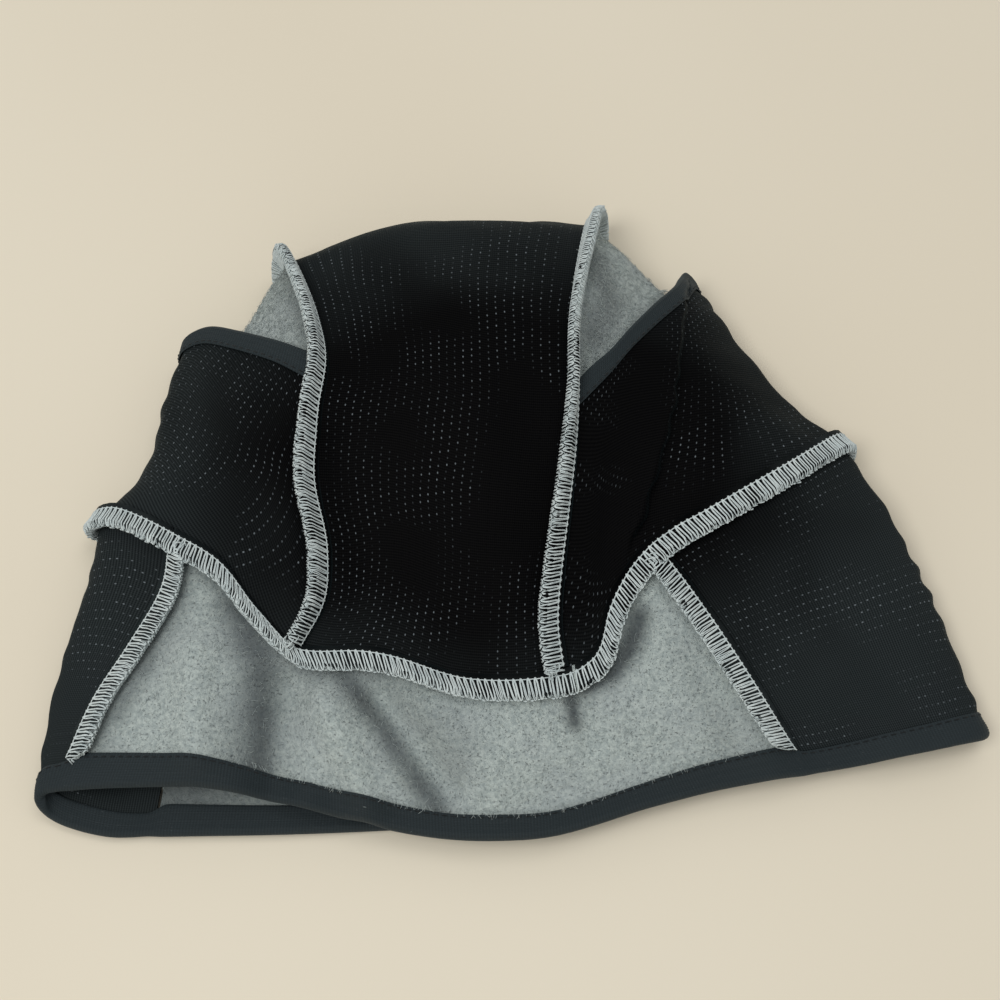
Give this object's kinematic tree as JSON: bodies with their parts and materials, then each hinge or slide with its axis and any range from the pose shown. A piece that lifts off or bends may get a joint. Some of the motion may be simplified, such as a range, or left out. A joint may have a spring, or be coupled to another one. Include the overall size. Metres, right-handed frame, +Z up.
{
  "type": "balaclava",
  "caption": "Fleece and mesh balaclava turned inside out and laid flat, with overlocked seams, elastic bound edges, a face opening and an open neck.",
  "frame": {"origin": "centre of the bounding box at the surface that the hood lies on", "axes": "+X across the hood, to the wearer's left as it lies, +Y from the neck hem towards the crown, +Z up, from the face side to the back of the head"},
  "size_m": [0.2772, 0.2022, 0.0471],
  "materials": {
    "mesh_cloth": "matte black knitted cloth with fine ribs and rows of small holes",
    "fleece": "brushed light grey fleece with a soft nap",
    "elastic_tape": "black ribbed elastic tape",
    "overlock_thread": "pale grey matte thread over the cut edges of the cloth",
    "black_thread": "black matte thread"
  },
  "bodies": {
    "root": {"crown_centre_panel": "mesh_cloth", "crown_side_panel_left": "fleece", "crown_side_panel_right": "fleece", "cheek_panel_left": "mesh_cloth", "cheek_panel_right": "mesh_cloth", "neck_side_panel_left": "mesh_cloth", "neck_side_panel_right": "mesh_cloth", "nape_yoke": "fleece", "throat_yoke": "fleece", "hem_binding": "elastic_tape", "hem_topstitch": "black_thread", "mask_edge_binding": "elastic_tape", "mask_edge_topstitch": "black_thread", "brow_binding": "elastic_tape", "brow_topstitch": "black_thread", "crown_seam_left": "overlock_thread", "crown_seam_right": "overlock_thread", "neck_seam": "overlock_thread", "yoke_seam_left": "overlock_thread", "yoke_seam_right": "overlock_thread", "throat_seam_left": "overlock_thread", "throat_seam_right": "overlock_thread", "centre_front_seam": "overlock_thread"}
  },
  "joints": []
}
